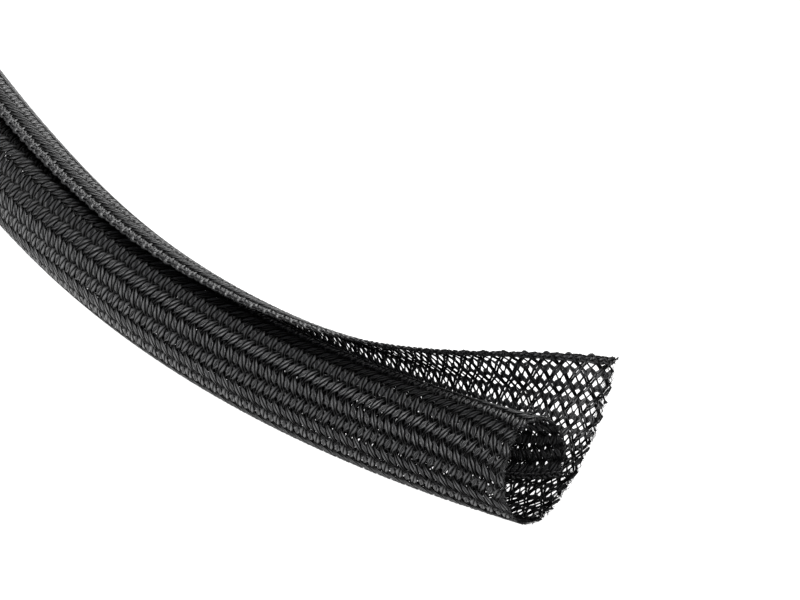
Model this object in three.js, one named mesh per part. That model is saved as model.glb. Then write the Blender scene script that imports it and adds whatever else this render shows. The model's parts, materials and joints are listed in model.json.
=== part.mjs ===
// Split braided cable sleeve, cut from the reel and lying on the floor.
//
// The sleeve is one springy sheet of flat braid, set in a roll of more than a full turn, so that
// its free edge laps over the sheet's own start. At the open end the lap has sprung out into a
// flap. The sheet's solid is lofted from sections that stand square to a level, bent route.
// The strands of the braid are finer than this solid: the sheet here has the braid's thickness.
//
// The route runs along +X to the open end, +Z is up, and the origin is under the middle of the
// sleeve, on the floor. In a section, "out" is level and points to the inside of the bend.

import * as THREE from 'three';

// The cut length, and the bend left in it from the reel.
const sleeveLength = 305;
const bendRadiusAtMouth = 234;
const bendRunsOutAt = 281; // distance from the open end, along the route, where it lies straight

// The sheet and its roll. A turn is measured from the line that the sleeve rests on.
const sheetWidth = 89; // flat, before it was rolled
const sheetThickness = 0.6;
const lapClearance = 1;
const rollRadius = 10; // of the middle of the sheet's thickness, at the resting line
const outerLapTurn = THREE.MathUtils.degToRad(186.5);

// Away from the open end the roll is a little looser.
const looseRollRadius = 10.54;
const loosensFrom = 120; // distances from the open end, along the route
const loosensTo = 215;

// The sprung end: the share of its roll that the flap loses at the mouth, where around the roll
// it starts to lose it, and how far back along the sleeve the opening fades.
const flapOpeningRatio = 0.72;
const flapHingeFrom = 1; // along the sheet, from the resting line
const flapHingeTo = 8;
const flareReach = 29.5;
const flareFall = 1.12; // over 1, the opening holds near the mouth and then falls off faster

// The roll has also turned under itself at the mouth, which gives the flap more of the sheet.
const mouthSlip = 3.8;
const slipReach = 13.3;

// The inner lap at the mouth is a little wider than the roll, and taller than it is wide.
const mouthWideningRatio = 0.05;
const mouthOvalRatio = 0.15;

// Fineness of the facets.
const facetsOnOuterLap = 23;
const facetsOnInnerLap = 38;
const stationCount = 42;
const stationCrowding = 1.35; // over 1, the stations crowd towards the open end
const routeStepCount = 610;

const routeStep = sleeveLength / routeStepCount;

const spiralGrowth = (sheetThickness + lapClearance) / (2 * Math.PI); // of radius, per radian

// The roll's radius falls steadily towards the inner edge, which keeps the laps one even
// clearance apart. "across" runs along the sheet from the resting line, outer lap positive.
function rolledCurvature(across, radiusAtRest) {
  const radius = Math.sqrt(radiusAtRest ** 2 + 2 * spiralGrowth * across);
  return 1 / radius;
}

function rolledLapWidth(radiusAtRest) {
  return radiusAtRest * outerLapTurn + (spiralGrowth * outerLapTurn ** 2) / 2;
}

function curvature(across, flare, radiusAtRest) {
  const rolled = rolledCurvature(across, radiusAtRest);
  let opened = flapOpeningRatio * THREE.MathUtils.smoothstep(across, flapHingeFrom, flapHingeTo);
  if (across < 0) opened += mouthWideningRatio - mouthOvalRatio * Math.cos(2 * across * rolled);
  return rolled * (1 - flare * opened);
}

// One lap of the section's middle line, as points and the headings of the facets between them.
// It starts half a facet from the resting line and runs to the lap's edge.
function layLap(width, facetCount, side, flare, radiusAtRest) {
  const facet = width / (facetCount + 0.5);
  const point = new THREE.Vector2((side * facet) / 2, sheetThickness / 2);
  const points = [point.clone()];
  const headings = [];
  let heading = 0;
  for (let i = 1; i <= facetCount; i += 1) {
    heading += side * facet * curvature(side * (i - 0.5) * facet, flare, radiusAtRest);
    point.x += side * facet * Math.cos(heading);
    point.y += side * facet * Math.sin(heading);
    points.push(point.clone());
    headings.push(heading);
  }
  return { points, headings };
}

// The middle line of a whole section, from the inner edge to the outer edge.
function middleLine(fromMouth) {
  const flare = Math.exp(-((fromMouth / flareReach) ** flareFall));
  const loosening = THREE.MathUtils.smoothstep(fromMouth, loosensFrom, loosensTo);
  const radius = THREE.MathUtils.lerp(rollRadius, looseRollRadius, loosening);
  const outerWidth = rolledLapWidth(radius) + mouthSlip * Math.exp(-fromMouth / slipReach);
  const inner = layLap(sheetWidth - outerWidth, facetsOnInnerLap, -1, flare, radius);
  const outer = layLap(outerWidth, facetsOnOuterLap, 1, flare, radius);
  return {
    points: [...inner.points.reverse(), ...outer.points],
    headings: [...inner.headings.reverse(), 0, ...outer.headings],
  };
}

// The section's two faces: each point of the middle line moved half the thickness to either
// side, along the mitre between the facets that meet there.
function sectionFaces(fromMouth) {
  const { points, headings } = middleLine(fromMouth);
  const outside = [];
  const inside = [];
  points.forEach((point, i) => {
    const before = headings[Math.max(i - 1, 0)];
    const after = headings[Math.min(i, headings.length - 1)];
    const mitre = (before + after) / 2;
    const reach = sheetThickness / 2 / Math.cos((after - before) / 2);
    const shift = new THREE.Vector2(Math.sin(mitre), -Math.cos(mitre)).multiplyScalar(reach);
    outside.push(point.clone().add(shift));
    inside.push(point.clone().sub(shift));
  });
  return { outside, inside };
}

// The bend eases off with distance from the open end, until the sleeve lies straight.
function routeHeading(fromMouth) {
  const bent = Math.min(fromMouth, bendRunsOutAt);
  return -(bent - bent ** 2 / (2 * bendRunsOutAt)) / bendRadiusAtMouth;
}

// The route on the floor from the open end back, as places and headings, one at each station.
function layRoute(stations) {
  const place = new THREE.Vector2();
  let travelled = 0;
  return stations.map((station) => {
    const steps = Math.max(1, Math.ceil((station - travelled) / routeStep));
    const step = (station - travelled) / steps;
    for (let i = 0; i < steps; i += 1) {
      const heading = routeHeading(travelled + step / 2);
      place.x -= step * Math.cos(heading);
      place.y -= step * Math.sin(heading);
      travelled += step;
    }
    return { place: place.clone(), heading: routeHeading(station) };
  });
}

// Sections in space, one loop of points at each station: the outside face from the inner edge
// to the outer edge, and the inside face back again.
function standSections() {
  const stations = [];
  for (let i = 0; i <= stationCount; i += 1) {
    stations.push(sleeveLength * (i / stationCount) ** stationCrowding);
  }
  const route = layRoute(stations);
  return stations.map((station, i) => {
    const { outside, inside } = sectionFaces(station);
    const { place, heading } = route[i];
    const loop = [...outside, ...inside.reverse()];
    return loop.map((point) => new THREE.Vector3(
      place.x - point.x * Math.sin(heading),
      place.y + point.x * Math.cos(heading),
      point.y,
    ));
  });
}

// The closed solid: a skin between neighbouring loops, and a cap across the sheet's thickness
// at each cut end.
function loftSheet(loops) {
  const around = loops[0].length;
  const positions = [];
  loops.forEach((loop) => loop.forEach((point) => positions.push(point.x, point.y, point.z)));
  const triangles = [];
  for (let station = 0; station < loops.length - 1; station += 1) {
    for (let i = 0; i < around; i += 1) {
      const near = station * around + i;
      const nearNext = station * around + ((i + 1) % around);
      const far = near + around;
      const farNext = nearNext + around;
      triangles.push(near, farNext, nearNext, near, far, farNext);
    }
  }
  const lastLoop = (loops.length - 1) * around;
  for (let i = 0; i < around / 2 - 1; i += 1) {
    const opposite = around - 1 - i;
    triangles.push(i, opposite - 1, opposite, i, i + 1, opposite - 1);
    triangles.push(lastLoop + i, lastLoop + opposite, lastLoop + opposite - 1);
    triangles.push(lastLoop + i, lastLoop + opposite - 1, lastLoop + i + 1);
  }
  const geometry = new THREE.BufferGeometry();
  geometry.setAttribute('position', new THREE.Float32BufferAttribute(positions, 3));
  geometry.setIndex(triangles);
  return geometry;
}

// Turns the route's chord onto the X axis and puts the origin under the middle of the sleeve.
function standOnFrame(geometry) {
  const [start, end] = layRoute([0, sleeveLength]);
  const chord = start.place.clone().sub(end.place);
  geometry.rotateZ(-chord.angle());
  geometry.computeBoundingBox();
  const middle = geometry.boundingBox.getCenter(new THREE.Vector3());
  geometry.translate(-middle.x, -middle.y, -geometry.boundingBox.min.z);
  geometry.computeVertexNormals();
  return geometry;
}

function braidedSleeve() {
  const geometry = standOnFrame(loftSheet(standSections()));
  const blackPolyester = new THREE.MeshStandardMaterial({
    color: 0x1b1c1f,
    roughness: 0.55,
    metalness: 0,
  });
  const mesh = new THREE.Mesh(geometry, blackPolyester);
  mesh.name = 'braided_sleeve';
  return mesh;
}

const group = new THREE.Group();
group.add(braidedSleeve());

export default group;
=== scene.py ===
# Split braided cable sleeve, dressed strand by strand.
#
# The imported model's solid is the plain sheet that the braid makes. Here each strand of the braid
# runs along that sheet, over and under the others, round its selvedges and to its cut ends.
# Lengths that describe the sleeve are in millimetres, and only finished meshes are in metres.

import json
import math

import bpy
import numpy as np
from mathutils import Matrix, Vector


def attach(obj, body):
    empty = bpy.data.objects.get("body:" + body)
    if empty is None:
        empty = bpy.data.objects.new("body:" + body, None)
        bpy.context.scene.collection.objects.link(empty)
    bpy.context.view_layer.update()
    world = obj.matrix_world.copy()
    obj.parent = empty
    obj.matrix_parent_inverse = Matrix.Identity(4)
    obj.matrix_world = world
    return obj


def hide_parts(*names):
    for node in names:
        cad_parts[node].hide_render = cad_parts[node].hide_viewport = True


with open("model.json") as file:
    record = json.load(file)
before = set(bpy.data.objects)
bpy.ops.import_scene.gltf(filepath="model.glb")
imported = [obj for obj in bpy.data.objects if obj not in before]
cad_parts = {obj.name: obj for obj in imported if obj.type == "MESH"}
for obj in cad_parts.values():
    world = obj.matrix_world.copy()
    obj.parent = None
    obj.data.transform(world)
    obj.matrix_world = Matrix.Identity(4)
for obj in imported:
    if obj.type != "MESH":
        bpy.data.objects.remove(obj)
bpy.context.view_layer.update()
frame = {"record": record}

bl_info = {
    "name": "Braided cable sleeve",
    "version": (1, 0, 0),
    "blender": (4, 5, 0),
    "location": "View3D > Sidebar > Sleeve",
    "description": "Lays the strands of a split braided cable sleeve along its sheet",
    "category": "Object",
}

MM = 0.001

# The sheet, with the sizes and shapes of the solid that the strands replace.
SLEEVE_LENGTH = 305
BEND_RADIUS_AT_MOUTH = 234
BEND_RUNS_OUT_AT = 281
SHEET_WIDTH = 89
SHEET_THICKNESS = 0.6
LAP_CLEARANCE = 1
ROLL_RADIUS = 10
LOOSE_ROLL_RADIUS = 10.54
LOOSENS_FROM = 120
LOOSENS_TO = 215
OUTER_LAP_TURN = math.radians(186.5)
FLAP_OPENING = 0.72
FLAP_HINGE_FROM = 1
FLAP_HINGE_TO = 8
FLARE_REACH = 29.5
FLARE_FALL = 1.12
MOUTH_SLIP = 3.8
SLIP_REACH = 13.3
MOUTH_WIDENING = 0.05
MOUTH_OVAL = 0.15
SPIRAL_GROWTH = (SHEET_THICKNESS + LAP_CLEARANCE) / (2 * math.pi)

# The braid. Every second carrier lays a yarn of two ends, and the ones between lay a fine strand,
# which is a monofilament with a fine yarn on either side.
CARRIER_COUNT = 60
WALE_COUNT = 30  # lengthwise rows of floats across the sheet
PERIOD_AT_MOUTH = 3.45  # along the sleeve, over two strands: the cut end is pushed short
PERIOD_DRAWN_OUT = 5.85  # and the braid is drawn longer away from it
PERIOD_GROWS_FROM = -10  # distances from the mouth
PERIOD_GROWS_TO = 190
SELVEDGE_MARGIN = -0.2  # from the sheet's edge to the line that the braid's rows count from
TURN_ROUNDING = 0.45  # of a strand where it turns back at a selvedge
TURN_TWIST = 0.5  # length over which a strand goes from one face to the other as it turns
TURN_REACH = 2.0  # from the turn to where the strand is as free as in the middle of the sheet
WALE_HEIGHT = (SHEET_WIDTH - 2 * SELVEDGE_MARGIN) / WALE_COUNT
ROWS_START = 0.25  # of a wale: the first row of crossings lies this far into the first wale
CUT_UNEVENNESS = 0.3  # of a strand's end, to either side of the cut

# Where a strand's middle lies off the sheet's, and the shift of the fine strands' rows.
YARN_LIFT = 0.16
FINE_LIFT = 0.16
FINE_SHIFT = -0.15  # towards the free edge

# How a strand spreads in a float and is pinched between others.
YARN_SHARPNESS = 2.2  # at the mouth: the higher, the shorter the spread part of a float
FINE_SHARPNESS = 2.4
SHARPNESS_FADES = 0.7  # power at which it falls as strands spread
SPREAD_AT_TURN = 0.45  # share of its spread that a strand keeps where it turns
WIDTH_FOLLOWS_PERIOD = 1.1  # power at which strands spread as the braid is drawn longer
PINCHED_FOLLOWS_SPREAD = 0.95  # power at which pinched widths grow with the spread ones
YARN_FLATTENS = 0.6  # power at which a strand gets thinner as it spreads
FINE_FLATTENS = 0.5

# The ends in a strand, with spacings from its middle and widths as shares of its own width.
YARN_END_SPACING = 0.26
YARN_END_WIDTH = 0.47
FINE_END_SPACING = 0.28
FINE_END_WIDTH = 0.44

# The plait along each selvedge.
SELVEDGE_DEPTH = 0.8  # of its middle, from the sheet's edge
SELVEDGE_SWING = 0.5  # of an end, to either side of the plait's middle
SELVEDGE_LIFT = 0.26  # and off the sheet's middle
PLAIT_ENDS = 3
PLAIT_END_WIDTH = 0.76  # and half as thick
PLAIT_END_OPENNESS = (0.6, 1.0)  # where an end passes the middle, and on its crests

# Fineness of the meshes.
STEPS_PER_STRAND = 5  # rings along a strand while it passes one strand of its own kind
RINGS_BY_TURN = (-0.3, -0.18, -0.09, 0, 0.09, 0.18, 0.3)  # extra ones, in strands passed
CLOSEST_RINGS = 0.03  # nearer ones are left out
PLAIT_STEP = 0.2  # in strands passed
YARN_SIDES = 6
FINE_SIDES = 4
FILAMENT_SIDES = 3
FILAMENT_RINGS = 6

# Small errors, as a braiding machine and a hand leave them. Widths err by a share.
COURSE_ERROR = 0.05
WIDTH_ERROR = 0.06
END_ERROR = 0.06
MONOFILAMENT_ERROR = 0.03
PLAIT_ERROR = 0.1
LONG_WAVES = 9  # shortest wave of an error that moves a strand
SHORT_WAVES = 3  # and of one that moves or widens an end in it

# Openness is the share of the light that reaches a vertex: 1 on an open crest, and near 0 in the
# crevices that the strands' real filaments would shade.
SHADE_WHERE_PINCHED = 0.03  # openness of a strand under two others
SHADE_BETWEEN_ENDS = 0.03
CREST_SHARPNESS = 4  # power at which openness falls from a tube's crest to its sides
EDGE_SHADE = 1.9  # how far in front of the free edge its shade begins
EDGE_SHADE_DEPTH = 0.95  # share of the light that the outer lap takes

# Loose filaments at the cut ends. Shares are of the longest one's length.
LOOSE_FILAMENTS = 420  # at each cut end
LOOSE_FILAMENT_DIAMETER = 0.1
LAID_BACK_SHARE = (0.3, 1)  # how far behind the cut one starts
STANDS_OUT_SHARE = 0.3  # and how far it stands out at most
SLANT = (1.7, 0.6)  # mean and spread of its way across the sheet, to its way along it
SLANT_GROWTH = 0.1  # of the way across, per square millimetre along
EDGE_CLEARANCE = 0.1  # from the sheet's edges
FILAMENT_LIFT = 0.25  # off the sheet's middle, to either side at most
FILAMENT_LIFT_SPREAD = 0.1  # of what is added to it by the tip
TUFT_FILAMENTS = 24  # at the flap's corner
TUFT_SHARE = (0.5, 1)  # length of one
TUFT_REACH = (-1, 0.45)  # from its start behind the cut to its tip
TUFT_DEPTH = 0.5  # where it crosses the cut, from the free edge
TUFT_SLANT = (0.5, 0.35)  # mean and spread, towards the free edge

# The stage, in metres.
FLOOR_SIZE = 8
KEY_PLACE = (-0.6, 0.9, 0.7)
KEY_SIZE = 0.8
FILL_PLACE = (-0.7, -0.75, 0.7)
FILL_SIZE = 0.4
NEAR_PLACE = (0.3, -0.45, 0.35)
NEAR_SIZE = 0.3
CAMERA_EYE = (1.0100, -0.4643, 0.3998)
CAMERA_AIM = (0.1372, -0.0172, 0.0448)
CAMERA_LENS = 251.6  # in millimetres, like the sensor
CAMERA_SENSOR_WIDTH = 36

# The colour sockets of a Mix node, which share their names with its other kinds.
MIX_FIRST = 6
MIX_SECOND = 7
MIX_RESULT = 2


def smoothstep(value, low, high):
    share = np.clip((value - low) / (high - low), 0, 1)
    return share * share * (3 - 2 * share)


def roll_radius(from_mouth):
    loosening = smoothstep(from_mouth, LOOSENS_FROM, LOOSENS_TO)
    return ROLL_RADIUS + (LOOSE_ROLL_RADIUS - ROLL_RADIUS) * loosening


def curvature(across, flare, radius):
    """Of the sheet's section, along the sheet from the resting line, outer lap positive."""
    rolled = 1 / np.sqrt(radius**2 + 2 * SPIRAL_GROWTH * across)
    opened = FLAP_OPENING * smoothstep(across, FLAP_HINGE_FROM, FLAP_HINGE_TO)
    inner_lap = MOUTH_WIDENING - MOUTH_OVAL * np.cos(2 * across * rolled)
    return rolled * (1 - flare * (opened + np.where(across < 0, inner_lap, 0)))


def flare_at(from_mouth):
    return np.exp(-((np.maximum(from_mouth, 0) / FLARE_REACH) ** FLARE_FALL))


def outer_width(from_mouth):
    """Width of the sheet from the resting line to the free edge."""
    rolled = roll_radius(from_mouth) * OUTER_LAP_TURN + SPIRAL_GROWTH * OUTER_LAP_TURN**2 / 2
    return rolled + MOUTH_SLIP * np.exp(-np.maximum(from_mouth, 0) / SLIP_REACH)


def running_sum(values, step, start):
    """Integral of the values along their last axis, nought at the index start."""
    middles = (values[..., 1:] + values[..., :-1]) / 2 * step
    total = np.concatenate([np.zeros(values.shape[:-1] + (1,)), np.cumsum(middles, -1)], -1)
    return total - total[..., start : start + 1]


class Sheet:
    """The sheet's middle surface, from which any place on it is read."""

    FINENESS_ACROSS = 0.25
    FINENESS_ALONG = 1.0
    ROUTE_STEP = 0.5
    ROUTE_MARGIN = 10

    def __init__(self, mouth_place, mouth_heading):
        self.stations = np.arange(0, SLEEVE_LENGTH + 1, self.FINENESS_ALONG)
        widths = outer_width(self.stations)
        inner_reach = math.ceil(SHEET_WIDTH - widths.min()) + 2
        outer_reach = math.ceil(widths.max()) + 2
        self.across = np.arange(-inner_reach, outer_reach, self.FINENESS_ACROSS)
        rest = int(inner_reach / self.FINENESS_ACROSS)
        flare = flare_at(self.stations)[:, None]
        radius = roll_radius(self.stations)[:, None]
        bending = curvature(self.across[None, :], flare, radius)
        self.turn = running_sum(bending, self.FINENESS_ACROSS, rest)
        self.out = running_sum(np.cos(self.turn), self.FINENESS_ACROSS, rest)
        rise = running_sum(np.sin(self.turn), self.FINENESS_ACROSS, rest)
        self.height = rise + SHEET_THICKNESS / 2
        self.lay_route(mouth_place, mouth_heading)

    def lay_route(self, mouth_place, mouth_heading):
        margin, step = self.ROUTE_MARGIN, self.ROUTE_STEP
        self.travelled = np.arange(-margin, SLEEVE_LENGTH + margin, step)
        bent = np.clip(self.travelled, 0, BEND_RUNS_OUT_AT)
        swing = (bent - bent**2 / (2 * BEND_RUNS_OUT_AT)) / BEND_RADIUS_AT_MOUTH
        self.heading = mouth_heading - swing
        start = int(margin / step)
        self.place_x = mouth_place[0] - running_sum(np.cos(self.heading), step, start)
        self.place_y = mouth_place[1] - running_sum(np.sin(self.heading), step, start)

    def read(self, table, from_mouth, across):
        station = np.clip(from_mouth / self.FINENESS_ALONG, 0, len(self.stations) - 1.001)
        column = (across - self.across[0]) / self.FINENESS_ACROSS
        column = np.clip(column, 0, len(self.across) - 1.001)
        i, j = station.astype(int), column.astype(int)
        p, q = station - i, column - j
        near = table[i, j] * (1 - q) + table[i, j + 1] * q
        far = table[i + 1, j] * (1 - q) + table[i + 1, j + 1] * q
        return near * (1 - p) + far * p

    def point(self, from_mouth, from_edge, lift):
        """Places in space and outward normals, from a distance from the mouth, a distance from
        the free edge and a lift off the middle surface towards the outside of the roll."""
        across = outer_width(from_mouth) - from_edge
        turn = self.read(self.turn, from_mouth, across)
        out = self.read(self.out, from_mouth, across) + lift * np.sin(turn)
        height = self.read(self.height, from_mouth, across) - lift * np.cos(turn)
        heading = np.interp(from_mouth, self.travelled, self.heading)
        x = np.interp(from_mouth, self.travelled, self.place_x) - out * np.sin(heading)
        y = np.interp(from_mouth, self.travelled, self.place_y) + out * np.cos(heading)
        normal_x = -np.sin(heading) * np.sin(turn)
        normal_y = np.cos(heading) * np.sin(turn)
        return np.stack([x, y, height], -1), np.stack([normal_x, normal_y, -np.cos(turn)], -1)


def sheet_from_frame():
    """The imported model's mount on the mouth's cut gives where the mouth rests and which way
    it faces."""
    mounts = {mount["name"]: mount for mount in frame["record"]["mounts"]}
    if "open_end_cut" not in mounts:
        raise RuntimeError("The packed model has no mount open_end_cut to lay the sheet from")
    mouth = mounts["open_end_cut"]
    place = [value / MM for value in mouth["pos_m"][:2]]
    return Sheet(place, math.atan2(mouth["axis"][1], mouth["axis"][0]))


def period(along):
    """Length along the sleeve that one yarn and one fine strand take up."""
    growth = smoothstep(along, PERIOD_GROWS_FROM, PERIOD_GROWS_TO)
    return PERIOD_AT_MOUTH + (PERIOD_DRAWN_OUT - PERIOD_AT_MOUTH) * growth


# How many strands lie between the mouth and each distance from it.
COUNT_STEP = 0.5
COUNT_MARGIN = 5
COUNTED = np.arange(-COUNT_MARGIN, SLEEVE_LENGTH + COUNT_MARGIN, COUNT_STEP)
STRANDS_PASSED = running_sum(2 / period(COUNTED), COUNT_STEP, int(COUNT_MARGIN / COUNT_STEP))


def strand_course(carrier, start, end):
    """Where a strand runs, as arrays: distance from the mouth, distance from the free edge,
    wales crossed, the face that it takes (1 outer, -1 inner) on an even wale, and how free it
    is of the nearest turn, from 0 to 1."""
    first, last = np.interp([start, end], COUNTED, STRANDS_PASSED)
    evenly = np.arange(first, last, 1 / STEPS_PER_STRAND)
    passages = range(math.floor((first - carrier) / WALE_COUNT), math.ceil(last / WALE_COUNT) + 1)
    by_turns = [carrier + WALE_COUNT * k + np.array(RINGS_BY_TURN) for k in passages]
    passed = np.unique(np.concatenate([evenly, [last], *by_turns]))
    passed = passed[(passed >= first) & (passed <= last)]
    passed = passed[np.concatenate([[True], np.diff(passed) > CLOSEST_RINGS])]
    cycle = np.mod(passed - carrier, 2 * WALE_COUNT)
    going_out = cycle < WALE_COUNT
    fold = np.where(going_out, cycle, 2 * WALE_COUNT - cycle)
    near = fold * WALE_HEIGHT
    far = (WALE_COUNT - fold) * WALE_HEIGHT
    rounded_near = SELVEDGE_MARGIN + np.hypot(near, TURN_ROUNDING)
    rounded_far = SHEET_WIDTH - SELVEDGE_MARGIN - np.hypot(far, TURN_ROUNDING)
    from_edge = np.where(near < far, rounded_near, rounded_far)
    nearest = np.minimum(near, far)
    face = np.where(going_out, 1, -1) * nearest / np.hypot(nearest, TURN_TWIST)
    free = nearest / np.hypot(nearest, TURN_REACH)
    along = np.interp(passed, STRANDS_PASSED, COUNTED)
    return along, from_edge, fold + ROWS_START, face, free


def float_share(wales):
    """0 where a strand passes from one face to the other, 1 in the middle of its float."""
    return (1 - np.cos(2 * math.pi * wales)) / 2


def tube_mesh(path, normal, width, thickness, side_count, openness):
    """Rings round a path, joined into a closed tube. Returns vertices, quads, caps, UVs and
    how open to the light each vertex is: least at the tube's sides, against its neighbours."""
    tangent = np.gradient(path, axis=0)
    tangent /= np.linalg.norm(tangent, axis=1, keepdims=True)
    side = np.cross(normal, tangent)
    side /= np.linalg.norm(side, axis=1, keepdims=True)
    upright = np.cross(tangent, side)
    angle = math.pi / 2 + np.arange(side_count) * 2 * math.pi / side_count
    wide = side[:, None, :] * (width[:, None] / 2 * np.cos(angle))[:, :, None]
    thick = upright[:, None, :] * (thickness[:, None] / 2 * np.sin(angle))[:, :, None]
    vertices = (path[:, None, :] + wide + thick).reshape(-1, 3)
    vertices[:, 2] = np.maximum(vertices[:, 2], 0)  # flattened where it rests on the floor
    ring, k = np.meshgrid(np.arange(len(path) - 1), np.arange(side_count), indexing="ij")
    ring, k = ring.ravel(), k.ravel()
    k_next = (k + 1) % side_count
    quads = np.stack(
        [
            ring * side_count + k,
            ring * side_count + k_next,
            (ring + 1) * side_count + k_next,
            (ring + 1) * side_count + k,
        ],
        -1,
    )
    travelled = np.concatenate([[0], np.cumsum(np.linalg.norm(np.diff(path, axis=0), axis=1))])
    u = np.stack([travelled[ring], travelled[ring], travelled[ring + 1], travelled[ring + 1]], -1)
    v = np.stack([k, k + 1, k + 1, k], -1) / side_count
    start_cap = np.arange(side_count)[::-1]
    end_cap = np.arange(side_count) + (len(path) - 1) * side_count
    crest = np.abs(np.sin(angle)) ** CREST_SHARPNESS
    crest = SHADE_BETWEEN_ENDS + (1 - SHADE_BETWEEN_ENDS) * crest
    lit = (openness[:, None] * crest).ravel()
    return vertices, quads, (start_cap, end_cap), np.stack([u, v], -1), lit


def join_tubes(name, tubes):
    """One mesh object of many tubes, in metres, with a UV map in metres along each strand and
    once round it, and with the openness of its vertices as an attribute."""
    vertices, faces, corners, openness = [], [], [], []
    offset = 0
    for points, quads, caps, uv, lit in tubes:
        vertices.append(points * MM)
        faces.extend((quads + offset).tolist())
        corners.append(uv.reshape(-1, 2) * (MM, 1))
        for cap in caps:
            faces.append((cap + offset).tolist())
            corners.append(np.zeros((len(cap), 2)))
        openness.append(lit)
        offset += len(points)
    mesh = bpy.data.meshes.new(name)
    mesh.from_pydata(np.concatenate(vertices).tolist(), [], faces)
    layer = mesh.uv_layers.new(name="strand")
    layer.uv.foreach_set("vector", np.concatenate(corners).astype(np.float32).ravel())
    lit = mesh.attributes.new("openness", "FLOAT", "POINT")
    lit.data.foreach_set("value", np.concatenate(openness).astype(np.float32))
    mesh.validate()
    piece = bpy.data.objects.new(name, mesh)
    bpy.context.collection.objects.link(piece)
    bpy.ops.object.select_all(action="DESELECT")
    piece.select_set(True)
    bpy.context.view_layer.objects.active = piece
    bpy.ops.object.shade_smooth()
    return piece


def wander(along, random, size, shortest=LONG_WAVES):
    """A small smooth error of three waves along a strand."""
    phases = random.uniform(0, 2 * math.pi, 3)
    lengths = random.uniform(shortest, 4 * shortest, 3)
    waves = [np.sin(2 * math.pi * along / length + phase) for length, phase in zip(lengths, phases)]
    return size * sum(waves) / math.sqrt(3)


def linear(hex_colour):
    """Linear RGBA of an sRGB hex colour."""
    channels = [int(hex_colour[i : i + 2], 16) / 255 for i in (1, 3, 5)]
    bent = [c / 12.92 if c <= 0.04045 else ((c + 0.055) / 1.055) ** 2.4 for c in channels]
    return (*bent, 1.0)


def add_node(material, kind, settings=None, links=None):
    """Adds a node, sets its properties and inputs by name, and links sockets into it."""
    tree = material.node_tree
    node = tree.nodes.new(kind)
    for name, value in (settings or {}).items():
        if name in node.inputs:
            node.inputs[name].default_value = value
        else:
            setattr(node, name, value)
    for name, source in (links or {}).items():
        tree.links.new(source, node.inputs[name])
    return node


def new_material(name):
    material = bpy.data.materials.new(name)
    material.use_nodes = True
    material.node_tree.nodes.clear()
    return material


def strand_grain(material, along, around, detail, roughness):
    """Noise drawn out along a strand, with so many grains to a metre along and once round."""
    uv = add_node(material, "ShaderNodeUVMap", {"uv_map": "strand"})
    stretched = add_node(
        material,
        "ShaderNodeMapping",
        {"Scale": (along, around, 1)},
        {"Vector": uv.outputs["UV"]},
    )
    noise = add_node(
        material,
        "ShaderNodeTexNoise",
        {"Scale": 1.0, "Detail": detail, "Roughness": roughness},
        {"Vector": stretched.outputs["Vector"]},
    )
    return noise.outputs["Fac"]


def colour_ramp(material, factor, *stops):
    """A ramp through the stops, each a position and a hex colour."""
    node = add_node(material, "ShaderNodeValToRGB", links={"Fac": factor})
    for element, (position, colour) in zip(node.color_ramp.elements, stops):
        element.position = position
        element.color = linear(colour)
    return node.outputs["Color"]


def strand_surface(material, colour, grain, openness, roughness_range, relief):
    """Polyester whose gloss and relief follow the grain and whose highlights fade in crevices."""
    gloss = add_node(
        material,
        "ShaderNodeMapRange",
        {
            "From Min": 0.3,
            "From Max": 0.7,
            "To Min": roughness_range[0],
            "To Max": roughness_range[1],
        },
        {"Value": grain},
    )
    bump = add_node(material, "ShaderNodeBump", relief, {"Height": grain})
    shine = add_node(material, "ShaderNodeMapRange", {"To Max": 0.9}, {"Value": openness})
    surface = add_node(
        material,
        "ShaderNodeBsdfPrincipled",
        {"IOR": 1.57, "Metallic": 0.0},
        {
            "Base Color": colour,
            "Specular IOR Level": shine.outputs["Result"],
            "Roughness": gloss.outputs["Result"],
            "Normal": bump.outputs["Normal"],
        },
    )
    add_node(material, "ShaderNodeOutputMaterial", links={"Surface": surface.outputs["BSDF"]})


def openness_of(material):
    return add_node(
        material, "ShaderNodeAttribute", {"attribute_name": "openness"}
    ).outputs["Fac"]


def spun_polyester():
    """Black multifilament polyester yarn: hundreds of fine drawn filaments side by side, which
    give it a satin gloss broken into streaks along the strand."""
    material = new_material("spun_polyester_yarn_black")
    # 12 streaks round an end whose girth is 1.3 to 3 mm: 0.1 to 0.25 mm each, coarser than the
    # real 0.02 mm filaments so that they show. They are about 4 mm long.
    streaks = strand_grain(material, along=260, around=12, detail=3.0, roughness=0.6)
    colour = colour_ramp(material, streaks, (0.35, "#040405"), (0.72, "#323337"))
    openness = openness_of(material)
    shaded = add_node(material, "ShaderNodeMix", {"data_type": "RGBA"}, {"Factor": openness})
    shaded.inputs[MIX_FIRST].default_value = linear("#010101")
    material.node_tree.links.new(colour, shaded.inputs[MIX_SECOND])
    relief = {"Strength": 0.9, "Distance": 0.00012}
    strand_surface(material, shaded.outputs[MIX_RESULT], streaks, openness, (0.46, 0.32), relief)
    return material


def drawn_polyester():
    """Black polyester monofilament, extruded and drawn: smooth and a little glossier than the
    yarn, with faint waviness left from the drawing."""
    material = new_material("drawn_polyester_monofilament_black")
    # Waves of 1.4 mm along the strand, three to its girth.
    waves = strand_grain(material, along=700, around=3, detail=2.0, roughness=0.5)
    colour = colour_ramp(material, waves, (0.3, "#060607"), (0.75, "#17181a"))
    relief = {"Strength": 0.25, "Distance": 0.00002}
    strand_surface(material, colour, waves, openness_of(material), (0.42, 0.3), relief)
    return material


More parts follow.
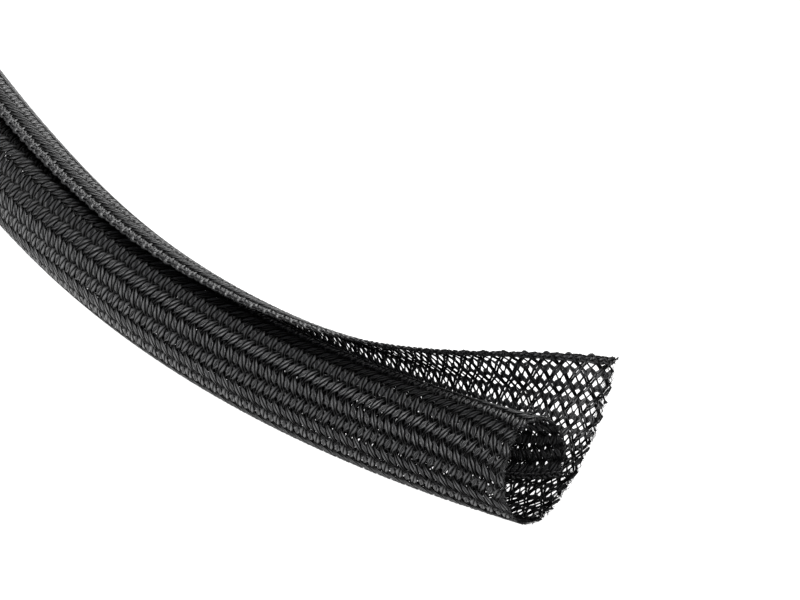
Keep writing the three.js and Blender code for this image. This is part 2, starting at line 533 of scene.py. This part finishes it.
def opal_acrylic():
    """Opal acrylic light table under the sleeve, lit evenly from below."""
    material = new_material("opal_acrylic_cast_white")
    place = add_node(material, "ShaderNodeTexCoord")
    mottle = add_node(
        material,
        "ShaderNodeTexNoise",
        {"Scale": 9.0, "Detail": 2.0},
        {"Vector": place.outputs["Object"]},
    )
    glow = colour_ramp(material, mottle.outputs["Fac"], (0, "#f6f6f6"), (1, "#fafafa"))
    surface = add_node(
        material,
        "ShaderNodeBsdfPrincipled",
        {
            "Base Color": linear("#909090"),
            "Roughness": 0.9,
            "Specular IOR Level": 0.1,
            "Emission Strength": 1.08,
        },
        {"Emission Color": glow},
    )
    add_node(material, "ShaderNodeOutputMaterial", links={"Surface": surface.outputs["BSDF"]})
    return material


def dress(piece, material):
    """Gives a finished piece its material and its place in the model."""
    piece.data.materials.append(material)
    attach(piece, "root")
    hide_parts("braided_sleeve")


def length_property(name, description, default):
    return bpy.props.FloatProperty(
        name=name, description=description, default=default * MM, unit="LENGTH", precision=5
    )


class BraidSizes(bpy.types.PropertyGroup):
    yarn_pinched_width: length_property(
        "Yarn width, pinched", "Width of a yarn where it passes between two others", 0.94
    )
    yarn_spread_width: length_property(
        "Yarn width, spread", "Width of a yarn in the middle of a float", 1.72
    )
    yarn_thickness: length_property(
        "Yarn thickness", "Thickness of a yarn where it is pinched", 0.36
    )
    fine_pinched_width: length_property(
        "Fine strand width, pinched", "Width of a fine strand between two others", 0.3
    )
    fine_spread_width: length_property(
        "Fine strand width, spread", "Width of a fine strand in the middle of a float", 1.52
    )
    fine_thickness: length_property(
        "Fine strand thickness", "Thickness of a fine strand where it is pinched", 0.3
    )
    monofilament_diameter: length_property(
        "Monofilament diameter", "Diameter of the monofilament in a fine strand", 0.25
    )
    fray_length: length_property(
        "Fray length", "Longest loose filament at a cut end", 2.2
    )
    seed: bpy.props.IntProperty(
        name="Seed",
        description="Start of the strands' small random errors",
        default=7,
        subtype="UNSIGNED",
        min=0,
    )


class StageSettings(bpy.types.PropertyGroup):
    key_power: bpy.props.FloatProperty(
        name="Key light",
        description="Power of the large soft light behind the sleeve",
        default=12,
        unit="POWER",
    )
    fill_power: bpy.props.FloatProperty(
        name="Fill light",
        description="Power of the soft light in front of the sleeve, to the left",
        default=4.5,
        unit="POWER",
    )
    near_power: bpy.props.FloatProperty(
        name="Near light",
        description="Power of the small soft light in front of the open end",
        default=3.2,
        unit="POWER",
    )
    room_light: bpy.props.FloatProperty(
        name="Room light",
        description="Strength of the light all round",
        default=0.36,
        subtype="FACTOR",
        min=0,
        max=1,
    )
    room_colour: bpy.props.FloatVectorProperty(
        name="Room colour",
        description="Colour of the light all round",
        default=linear("#ffffff")[:3],
        subtype="COLOR",
        size=3,
        min=0,
        max=1,
    )


def strand_ends(random):
    """Where a strand starts at the mouth and ends at the far cut, a little unevenly."""
    start = random.uniform(-CUT_UNEVENNESS, CUT_UNEVENNESS)
    return start, SLEEVE_LENGTH + random.uniform(-CUT_UNEVENNESS, CUT_UNEVENNESS)


def under_outer_lap(from_mouth, from_edge):
    """Share to which the inner lap is shaded by the outer lap, from just before the free edge
    inwards. The free edge lies one turn of the roll along the sheet from what is under it."""
    one_turn = 2 * math.pi * (roll_radius(from_mouth) + SPIRAL_GROWTH * (OUTER_LAP_TURN - math.pi))
    covered = smoothstep(from_edge - one_turn, -EDGE_SHADE, -EDGE_SHADE / 3)
    return covered * (1 - flare_at(from_mouth))


class Strand:
    """One carrier's course through the braid, and the frame that its ends are laid in."""

    def __init__(self, sheet, carrier, lift, shift, random):
        self.along, from_edge, self.wales, face, self.free = strand_course(
            carrier, *strand_ends(random)
        )
        self.drawn = (period(self.along) / PERIOD_AT_MOUTH) ** WIDTH_FOLLOWS_PERIOD
        self.lifted = lift * face * np.sin(math.pi / 2 * np.sin(math.pi * self.wales))
        from_edge = from_edge + shift * self.free + wander(self.along, random, COURSE_ERROR)
        self.path, self.normal = sheet.point(self.along, from_edge, self.lifted)
        self.shade = EDGE_SHADE_DEPTH * under_outer_lap(self.along, from_edge)
        tangent = np.gradient(self.path, axis=0)
        tangent /= np.linalg.norm(tangent, axis=1, keepdims=True)
        self.side = np.cross(self.normal, tangent)

    def width(self, pinched, spread, sharpness):
        """Spread out in a float, and bunched where other strands pinch it."""
        narrow = pinched * self.drawn**PINCHED_FOLLOWS_SPREAD
        sharpness = sharpness / self.drawn**SHARPNESS_FADES
        share = float_share(self.wales) ** sharpness * self.free + SPREAD_AT_TURN * (1 - self.free)
        return narrow + (spread * self.drawn - narrow) * share

    def lay_end(self, aside, width, thickness, side_count):
        path = self.path + self.side * aside[:, None]
        openness = SHADE_WHERE_PINCHED + (1 - SHADE_WHERE_PINCHED) * float_share(self.wales)
        openness *= 1 - self.shade
        return tube_mesh(path, self.normal, width, thickness, side_count, openness)


class SLEEVE_OT_lay_yarns(bpy.types.Operator):
    """Lay the yarns of every second carrier along the sheet"""

    bl_idname = "sleeve.lay_yarns"
    bl_label = "Lay the yarns"

    def execute(self, context):
        sizes = context.scene.braid_sizes
        pinched = sizes.yarn_pinched_width / MM
        spread = sizes.yarn_spread_width / MM
        thickness = sizes.yarn_thickness / MM
        sheet = sheet_from_frame()
        random = np.random.default_rng(sizes.seed)
        tubes = []
        for carrier in range(0, CARRIER_COUNT, 2):
            strand = Strand(sheet, carrier, YARN_LIFT, 0, random)
            whole = strand.width(pinched, spread, YARN_SHARPNESS)
            whole *= 1 + wander(strand.along, random, WIDTH_ERROR, SHORT_WAVES)
            flattened = thickness * (pinched / whole) ** YARN_FLATTENS
            for side in (-1, 1):
                aside = side * whole * YARN_END_SPACING
                aside += wander(strand.along, random, END_ERROR, SHORT_WAVES)
                width = whole * YARN_END_WIDTH
                tubes.append(strand.lay_end(aside, width, flattened, YARN_SIDES))
        material = spun_polyester()
        for part in range(3):
            dress(join_tubes(f"yarn_ends_{part + 1}", tubes[part::3]), material)
        return {"FINISHED"}


class SLEEVE_OT_lay_fine_strands(bpy.types.Operator):
    """Lay the fine strands between the yarns: a monofilament with a fine yarn on either side"""

    bl_idname = "sleeve.lay_fine_strands"
    bl_label = "Lay the fine strands"

    def execute(self, context):
        sizes = context.scene.braid_sizes
        pinched = sizes.fine_pinched_width / MM
        spread = sizes.fine_spread_width / MM
        thickness = sizes.fine_thickness / MM
        diameter = sizes.monofilament_diameter / MM
        sheet = sheet_from_frame()
        random = np.random.default_rng(sizes.seed + 1)
        fine_yarns, monofilaments = [], []
        for carrier in range(1, CARRIER_COUNT, 2):
            strand = Strand(sheet, carrier, FINE_LIFT, FINE_SHIFT, random)
            whole = strand.width(pinched, spread, FINE_SHARPNESS)
            whole *= 1 + wander(strand.along, random, WIDTH_ERROR, SHORT_WAVES)
            round_section = np.full(len(whole), diameter)
            middle = wander(strand.along, random, MONOFILAMENT_ERROR)
            monofilaments.append(strand.lay_end(middle, round_section, round_section, FINE_SIDES))
            flattened = thickness * (pinched / whole) ** FINE_FLATTENS
            for side in (-1, 1):
                aside = side * whole * FINE_END_SPACING
                aside += wander(strand.along, random, END_ERROR, SHORT_WAVES)
                width = whole * FINE_END_WIDTH
                fine_yarns.append(strand.lay_end(aside, width, flattened, FINE_SIDES))
        yarn = spun_polyester()
        for part in range(2):
            dress(join_tubes(f"fine_yarn_ends_{part + 1}", fine_yarns[part::2]), yarn)
        dress(join_tubes("monofilaments", monofilaments), drawn_polyester())
        return {"FINISHED"}


def loose_filament(sheet, end, outward, longest, random):
    """A fine filament that lies across the strands near a cut and just stands out of it."""
    outermost = random.uniform(0, STANDS_OUT_SHARE) * longest
    innermost = -random.uniform(*LAID_BACK_SHARE) * longest
    travelled = np.linspace(innermost, outermost, FILAMENT_RINGS)
    slant = random.choice((-1, 1)) * random.normal(*SLANT)
    from_edge = random.uniform(0, SHEET_WIDTH) + slant * travelled + SLANT_GROWTH * travelled**2
    from_edge = np.clip(from_edge, EDGE_CLEARANCE, SHEET_WIDTH - EDGE_CLEARANCE)
    return filament_mesh(sheet, end + outward * travelled, from_edge, random)


def tuft_filament(sheet, longest, random):
    """A fine filament of the tuft where the mouth's cut meets the free edge."""
    travelled = np.linspace(*TUFT_REACH, FILAMENT_RINGS) * longest * random.uniform(*TUFT_SHARE)
    from_edge = TUFT_DEPTH - travelled * random.normal(*TUFT_SLANT)
    return filament_mesh(sheet, -travelled, from_edge, random)


def filament_mesh(sheet, along, from_edge, random):
    lift = random.uniform(-FILAMENT_LIFT, FILAMENT_LIFT)
    lift = lift + random.normal(0, FILAMENT_LIFT_SPREAD) * np.linspace(0, 1, len(along))
    path, normal = sheet.point(along, from_edge, lift)
    path[:, 2] = np.maximum(path[:, 2], LOOSE_FILAMENT_DIAMETER)
    diameter = np.full(len(path), LOOSE_FILAMENT_DIAMETER)
    return tube_mesh(path, normal, diameter, diameter, FILAMENT_SIDES, np.ones(len(path)))


class SLEEVE_OT_plait_selvedges(bpy.types.Operator):
    """Plait three ends along each selvedge, through the turns of the strands"""

    bl_idname = "sleeve.plait_selvedges"
    bl_label = "Plait the selvedges"

    def execute(self, context):
        sheet = sheet_from_frame()
        random = np.random.default_rng(context.scene.braid_sizes.seed + 2)
        passed = np.arange(0, np.interp(SLEEVE_LENGTH, COUNTED, STRANDS_PASSED), PLAIT_STEP)
        along = np.interp(passed, STRANDS_PASSED, COUNTED)
        shaded, open_crest = PLAIT_END_OPENNESS
        tubes = []
        for middle in (SELVEDGE_DEPTH, SHEET_WIDTH - SELVEDGE_DEPTH):
            for end in range(PLAIT_ENDS):
                phase = math.pi * passed + 2 * math.pi * end / PLAIT_ENDS
                swing = SELVEDGE_SWING * np.sin(phase)
                from_edge = middle + swing + wander(along, random, PLAIT_ERROR)
                path, normal = sheet.point(along, from_edge, SELVEDGE_LIFT * np.sin(2 * phase))
                width = np.full(len(path), PLAIT_END_WIDTH)
                openness = shaded + (open_crest - shaded) * np.sin(2 * phase) ** 2
                tubes.append(tube_mesh(path, normal, width, width / 2, FINE_SIDES, openness))
        dress(join_tubes("selvedge_plaits", tubes), spun_polyester())
        return {"FINISHED"}


class SLEEVE_OT_fray_ends(bpy.types.Operator):
    """Let fine loose filaments stand out of both cut ends"""

    bl_idname = "sleeve.fray_ends"
    bl_label = "Fray the cut ends"

    def execute(self, context):
        sizes = context.scene.braid_sizes
        longest = sizes.fray_length / MM
        sheet = sheet_from_frame()
        random = np.random.default_rng(sizes.seed + 3)
        filaments = []
        for end, outward in ((0, -1), (SLEEVE_LENGTH, 1)):
            for _ in range(LOOSE_FILAMENTS):
                filaments.append(loose_filament(sheet, end, outward, longest, random))
        for _ in range(TUFT_FILAMENTS):
            filaments.append(tuft_filament(sheet, longest, random))
        dress(join_tubes("loose_filaments", filaments), spun_polyester())
        return {"FINISHED"}


class SLEEVE_OT_set_stage(bpy.types.Operator):
    """Set up the floor, the lights and the camera"""

    bl_idname = "sleeve.set_stage"
    bl_label = "Set the stage"

    def execute(self, context):
        settings = context.scene.stage_settings
        bpy.ops.object.select_all(action="DESELECT")
        bpy.ops.mesh.primitive_plane_add(size=FLOOR_SIZE)
        floor = context.active_object
        floor.name = "studio_floor"
        floor.data.materials.append(opal_acrylic())
        self.light_room(context, settings)
        self.add_softbox("key_softbox", KEY_PLACE, KEY_SIZE, settings.key_power)
        self.add_softbox("fill_softbox", FILL_PLACE, FILL_SIZE, settings.fill_power)
        self.add_softbox("near_softbox", NEAR_PLACE, NEAR_SIZE, settings.near_power)
        self.add_camera(context)
        context.scene.view_settings.view_transform = "Standard"
        return {"FINISHED"}

    def light_room(self, context, settings):
        world = bpy.data.worlds.new("studio_room")
        world.use_nodes = True
        background = world.node_tree.nodes["Background"]
        background.inputs["Color"].default_value = (*settings.room_colour, 1)
        background.inputs["Strength"].default_value = settings.room_light
        context.scene.world = world

    def add_softbox(self, name, place, size, power):
        bpy.ops.object.light_add(type="AREA", location=place)
        lamp = bpy.context.active_object
        lamp.name = name
        lamp.data.energy = power
        lamp.data.size = size
        lamp.rotation_euler = (-Vector(place)).to_track_quat("-Z", "Y").to_euler()

    def add_camera(self, context):
        bpy.ops.object.camera_add(location=CAMERA_EYE)
        camera = context.active_object
        looking = Vector(CAMERA_AIM) - Vector(CAMERA_EYE)
        camera.rotation_euler = looking.to_track_quat("-Z", "Y").to_euler()
        camera.data.sensor_width = CAMERA_SENSOR_WIDTH
        camera.data.sensor_fit = "HORIZONTAL"
        camera.data.lens = CAMERA_LENS
        context.scene.camera = camera


class SLEEVE_PT_panel(bpy.types.Panel):
    """Sizes and steps of the braided sleeve"""

    bl_label = "Braided cable sleeve"
    bl_idname = "SLEEVE_PT_panel"
    bl_space_type = "VIEW_3D"
    bl_region_type = "UI"
    bl_category = "Sleeve"

    def draw(self, context):
        for group in (context.scene.braid_sizes, context.scene.stage_settings):
            box = self.layout.box()
            for name in group.__annotations__:
                box.prop(group, name)
        for operator in STEPS:
            self.layout.operator(operator.bl_idname)


STEPS = (
    SLEEVE_OT_lay_yarns,
    SLEEVE_OT_lay_fine_strands,
    SLEEVE_OT_plait_selvedges,
    SLEEVE_OT_fray_ends,
    SLEEVE_OT_set_stage,
)
CLASSES = (BraidSizes, StageSettings, *STEPS, SLEEVE_PT_panel)


def register():
    for kind in CLASSES:
        bpy.utils.register_class(kind)
    bpy.types.Scene.braid_sizes = bpy.props.PointerProperty(type=BraidSizes)
    bpy.types.Scene.stage_settings = bpy.props.PointerProperty(type=StageSettings)


def unregister():
    del bpy.types.Scene.stage_settings
    del bpy.types.Scene.braid_sizes
    for kind in reversed(CLASSES):
        bpy.utils.unregister_class(kind)


def main():
    register()
    bpy.ops.sleeve.lay_yarns()
    bpy.ops.sleeve.lay_fine_strands()
    bpy.ops.sleeve.plait_selvedges()
    bpy.ops.sleeve.fray_ends()
    bpy.ops.sleeve.set_stage()


if __name__ == "__main__":
    main()
